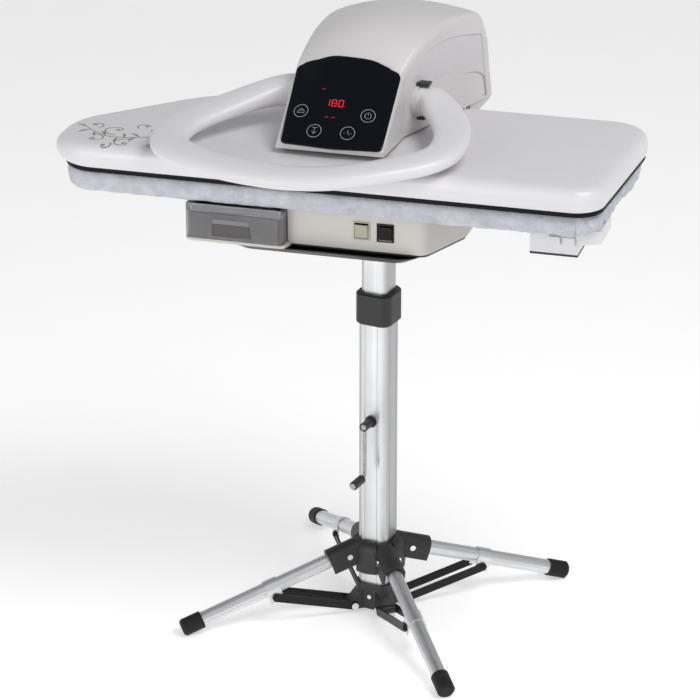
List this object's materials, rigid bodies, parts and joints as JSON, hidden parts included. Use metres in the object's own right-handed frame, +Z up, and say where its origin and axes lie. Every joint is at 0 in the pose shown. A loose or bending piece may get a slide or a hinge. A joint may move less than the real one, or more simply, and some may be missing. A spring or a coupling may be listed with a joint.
{
  "type": "steam ironing press",
  "caption": "Steam ironing press: hinged heated shoe over a padded board, on a crank-raised column with folding legs, with a water tank drawer.",
  "frame": {"origin": "on the floor, under the middle of the whole press", "axes": "+X along the board to its square end, +Y to the hinge at the back, +Z up"},
  "size_m": [0.9882, 0.631, 1.1026],
  "materials": {
    "column_aluminium": "satin anodised extrusion, fine lengthwise grain",
    "leg_aluminium": "satin anodised fluted tube",
    "bare_steel": "plain zinc-plated steel",
    "bright_rivet": "bright rivet head",
    "black_plastic": "moulded black nylon, faint grain",
    "black_gloss": "polished black switch plastic",
    "black_metal": "black powder coat",
    "black_rubber": "black rubber foot",
    "cream_plastic": "warm cream moulding, fine grain",
    "white_plastic": "off-white satin moulding",
    "head_plastic": "off-white satin moulding",
    "side_plastic": "pale grey satin moulding",
    "panel_glass": "polished black touch panel",
    "green_lens": "lit green rocker",
    "tank_smoke": "smoke-tinted clear plastic",
    "tank_rim_plastic": "smoke-tinted clear plastic",
    "circuit_board": "green solder mask",
    "pad_cloth": "pale padded cotton cover",
    "sole_metal": "dark coated aluminium",
    "insulation_wool": "compressed mineral wool board"
  },
  "bodies": {
    "root": {"outer_column": "column_aluminium", "foot_collar": "black_plastic", "clamp_collar": "black_plastic", "crank_bush": "black_plastic", "collar_rivets": "bright_rivet"},
    "top": {"inner_column": "column_aluminium", "slide_ring": "black_plastic", "rack": "bare_steel", "tray": "black_plastic", "base_plate": "black_plastic", "base_housing": "cream_plastic", "switch_bezels": "black_plastic", "water_pump": "black_plastic", "power_board": "circuit_board", "mains_gland": "black_plastic", "bed_rails": "bare_steel", "board_bed": "bare_steel", "pad": "pad_cloth", "hinge_bracket": "bare_steel", "hinge_axle": "bare_steel", "spring_cartridge": "bare_steel", "hinge_cover": "cream_plastic", "end_box": "white_plastic", "end_box_foot": "black_plastic", "end_box_tabs": "white_plastic"},
    "arm": {"arm_frame": "bare_steel", "shoe_cover": "white_plastic", "sole_plate": "sole_metal", "heating_element": "bare_steel", "insulation": "insulation_wool", "head_shell": "head_plastic", "side_cover_right": "side_plastic", "side_cover_left": "side_plastic", "control_panel": "panel_glass", "panel_board": "circuit_board", "handle_shaft": "bare_steel"},
    "handle": {"handle": "white_plastic"},
    "tank": {"water_tank": "tank_smoke", "tank_rim": "tank_rim_plastic"},
    "power_rocker": {"power_rocker": "green_lens"},
    "steam_rocker": {"steam_rocker": "black_gloss"},
    "crank": {"crank_shaft": "bare_steel", "pinion": "bare_steel", "crank_boss": "black_plastic", "crank_arm": "bare_steel"},
    "grip": {"crank_grip": "black_plastic"},
    "hub": {"hub": "black_plastic", "hub_rivets": "bright_rivet"},
    "leg_1": {"leg_tube_1": "leg_aluminium", "foot_cap_1": "black_rubber"},
    "brace_1": {"strut_1": "black_metal"},
    "leg_2": {"leg_tube_2": "leg_aluminium", "foot_cap_2": "black_rubber"},
    "brace_2": {"strut_2": "black_metal"},
    "leg_3": {"leg_tube_3": "leg_aluminium", "foot_cap_3": "black_rubber"},
    "brace_3": {"strut_3": "black_metal"},
    "leg_4": {"leg_tube_4": "leg_aluminium", "foot_cap_4": "black_rubber"},
    "brace_4": {"strut_4": "black_metal"}
  },
  "joints": [
    {"name": "lift_slide", "type": "slide", "parent": "root", "child": "top", "axis": [0, 0, 1], "range_m": [-0.0377, 0.1508]},
    {"name": "crank_turn", "type": "hinge", "parent": "root", "child": "crank", "pos_m": [0.05, 0, 0.38], "axis": [-0.1891, -0.982, 0], "range_deg": [-181, 721]},
    {"name": "grip_spin", "type": "hinge", "parent": "crank", "child": "grip", "pos_m": [0.03449, -0.08052, 0.282], "axis": [-0.1891, -0.982, 0], "continuous": true},
    {"name": "arm_hinge", "type": "hinge", "parent": "top", "child": "arm", "pos_m": [0, 0.245, 0.872], "axis": [-1, 0, 0], "range_deg": [0, 36]},
    {"name": "handle_pivot", "type": "hinge", "parent": "arm", "child": "handle", "pos_m": [0, 0.04, 0.964], "axis": [-1, 0, 0], "range_deg": [0, 12]},
    {"name": "tank_slide", "type": "slide", "parent": "top", "child": "tank", "axis": [0, -1, 0], "range_m": [0, 0.13]},
    {"name": "power_switch", "type": "hinge", "parent": "top", "child": "power_rocker", "pos_m": [0.06, -0.147, 0.787], "axis": [1, 0, 0], "range_deg": [-16, 0]},
    {"name": "steam_switch", "type": "hinge", "parent": "top", "child": "steam_rocker", "pos_m": [0.102, -0.147, 0.787], "axis": [1, 0, 0], "range_deg": [-16, 0]},
    {"name": "hub_slide", "type": "slide", "parent": "root", "child": "hub", "axis": [0, 0, 1], "range_m": [0, 0.1969]},
    {"name": "leg_fold_1", "type": "hinge", "parent": "hub", "child": "leg_1", "pos_m": [0.09968, 0.03364, 0.11651], "axis": [-0.5606, 0.8281, 0], "range_deg": [-0.1, 56.1]},
    {"name": "brace_fold_1", "type": "hinge", "parent": "root", "child": "brace_1", "pos_m": [0.0914, 0.02803, 0.015], "axis": [0.5606, -0.8281, 0], "range_deg": [-0.1, 61.6]},
    {"name": "leg_fold_2", "type": "hinge", "parent": "hub", "child": "leg_2", "pos_m": [0.01636, 0.04968, 0.11651], "axis": [-0.8281, -0.5606, 0], "range_deg": [-0.1, 56.1]},
    {"name": "brace_fold_2", "type": "hinge", "parent": "root", "child": "brace_2", "pos_m": [0.02197, 0.0414, 0.015], "axis": [0.8281, 0.5606, 0], "range_deg": [-0.1, 61.6]},
    {"name": "leg_fold_3", "type": "hinge", "parent": "hub", "child": "leg_3", "pos_m": [0.00032, -0.03364, 0.11651], "axis": [0.5606, -0.8281, 0], "range_deg": [-0.1, 56.1]},
    {"name": "brace_fold_3", "type": "hinge", "parent": "root", "child": "brace_3", "pos_m": [0.0086, -0.02803, 0.015], "axis": [-0.5606, 0.8281, 0], "range_deg": [-0.1, 61.6]},
    {"name": "leg_fold_4", "type": "hinge", "parent": "hub", "child": "leg_4", "pos_m": [0.08364, -0.04968, 0.11651], "axis": [0.8281, 0.5606, 0], "range_deg": [-0.1, 56.1]},
    {"name": "brace_fold_4", "type": "hinge", "parent": "root", "child": "brace_4", "pos_m": [0.07803, -0.0414, 0.015], "axis": [-0.8281, -0.5606, 0], "range_deg": [-0.1, 61.6]}
  ],
  "couplings": [
    {"joint": "crank_turn", "follows": "lift_slide", "rad_per_m": 83.333},
    {"joint": "leg_fold_1", "follows": "hub_slide", "rad_per_m": 4.9639},
    {"joint": "brace_fold_1", "follows": "hub_slide", "rad_per_m": 5.4436},
    {"joint": "leg_fold_2", "follows": "hub_slide", "rad_per_m": 4.9639},
    {"joint": "brace_fold_2", "follows": "hub_slide", "rad_per_m": 5.4436},
    {"joint": "leg_fold_3", "follows": "hub_slide", "rad_per_m": 4.9639},
    {"joint": "brace_fold_3", "follows": "hub_slide", "rad_per_m": 5.4436},
    {"joint": "leg_fold_4", "follows": "hub_slide", "rad_per_m": 4.9639},
    {"joint": "brace_fold_4", "follows": "hub_slide", "rad_per_m": 5.4436}
  ]
}
